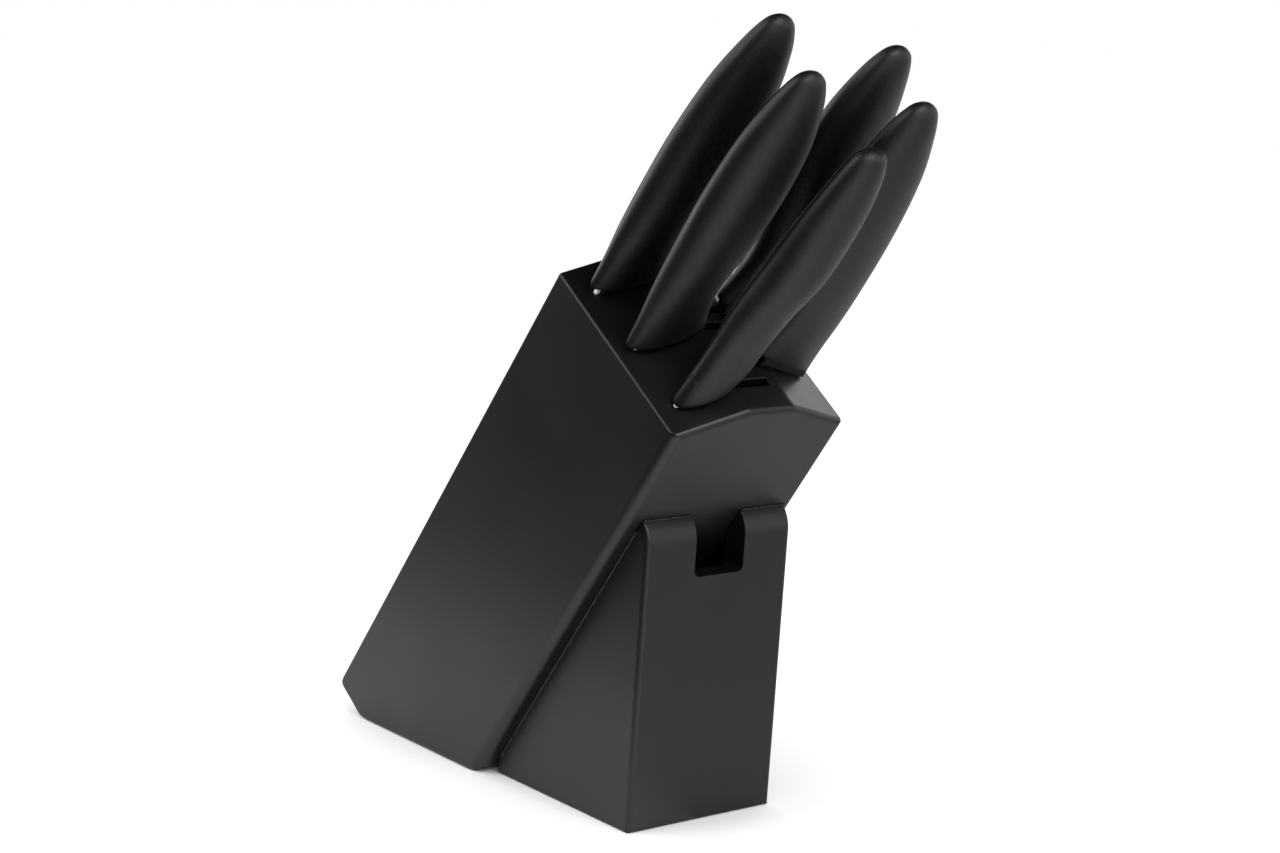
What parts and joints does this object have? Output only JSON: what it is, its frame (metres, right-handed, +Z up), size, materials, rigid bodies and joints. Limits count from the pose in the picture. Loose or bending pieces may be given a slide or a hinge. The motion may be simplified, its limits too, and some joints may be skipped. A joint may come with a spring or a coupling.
{
  "type": "knife block with knives",
  "caption": "Leaning black block with faceted top on a notched stand, holding kitchen knives in two rows of slots, soft oval handles up.",
  "frame": {"origin": "middle of the leaning block's bottom face, on the table", "axes": "+X from the block toward the stand and the way the handles lean, +Y across the block toward the side the far slots open from, +Z up"},
  "size_m": [0.2613, 0.083, 0.3047],
  "materials": {
    "painted_wood": "satin black paint over wood, softly rounded edges",
    "slot_wood": "dark stained, unfinished inside the slots",
    "soft_touch_handle": "matt soft-touch coating with a fine grain",
    "ceramic_blade": "white fine-ground zirconia, satin sheen"
  },
  "bodies": {
    "block": {"board_1": "painted_wood", "board_2": "painted_wood", "board_3": "painted_wood", "board_4": "painted_wood", "board_5": "painted_wood", "board_6": "painted_wood", "slot_e_near_strip": "painted_wood", "slot_e_far_strip": "painted_wood", "slot_e_stop": "slot_wood", "slot_d_near_strip": "painted_wood", "slot_d_far_strip": "painted_wood", "slot_d_stop": "slot_wood", "slot_b_near_strip": "painted_wood", "slot_b_far_strip": "painted_wood", "slot_b_stop": "slot_wood", "slot_c_near_strip": "painted_wood", "slot_c_far_strip": "painted_wood", "slot_c_stop": "slot_wood", "slot_a_near_strip": "painted_wood", "slot_a_far_strip": "painted_wood", "slot_a_stop": "slot_wood", "stand_front_board": "painted_wood", "stand_near_side": "painted_wood", "stand_far_side": "painted_wood"},
    "large_santoku_knife": {"large_santoku_blade": "ceramic_blade", "large_santoku_handle_back": "soft_touch_handle", "large_santoku_handle_front": "soft_touch_handle"},
    "small_santoku_knife": {"small_santoku_blade": "ceramic_blade", "small_santoku_handle_back": "soft_touch_handle", "small_santoku_handle_front": "soft_touch_handle"},
    "slicing_knife": {"slicing_blade": "ceramic_blade", "slicing_handle_back": "soft_touch_handle", "slicing_handle_front": "soft_touch_handle"},
    "utility_knife": {"utility_blade": "ceramic_blade", "utility_handle_back": "soft_touch_handle", "utility_handle_front": "soft_touch_handle"},
    "paring_knife": {"paring_blade": "ceramic_blade", "paring_handle_back": "soft_touch_handle", "paring_handle_front": "soft_touch_handle"}
  },
  "joints": [
    {"name": "large_santoku_draw", "type": "slide", "parent": "block", "child": "large_santoku_knife", "axis": [0.5621, 0, 0.8271], "range_m": [0, 0.185]},
    {"name": "small_santoku_draw", "type": "slide", "parent": "block", "child": "small_santoku_knife", "axis": [0.5621, 0, 0.8271], "range_m": [0, 0.165]},
    {"name": "slicing_draw", "type": "slide", "parent": "block", "child": "slicing_knife", "axis": [0.5621, 0, 0.8271], "range_m": [0, 0.155]},
    {"name": "utility_draw", "type": "slide", "parent": "block", "child": "utility_knife", "axis": [0.5621, 0, 0.8271], "range_m": [0, 0.135]},
    {"name": "paring_draw", "type": "slide", "parent": "block", "child": "paring_knife", "axis": [0.5621, 0, 0.8271], "range_m": [0, 0.1]}
  ]
}
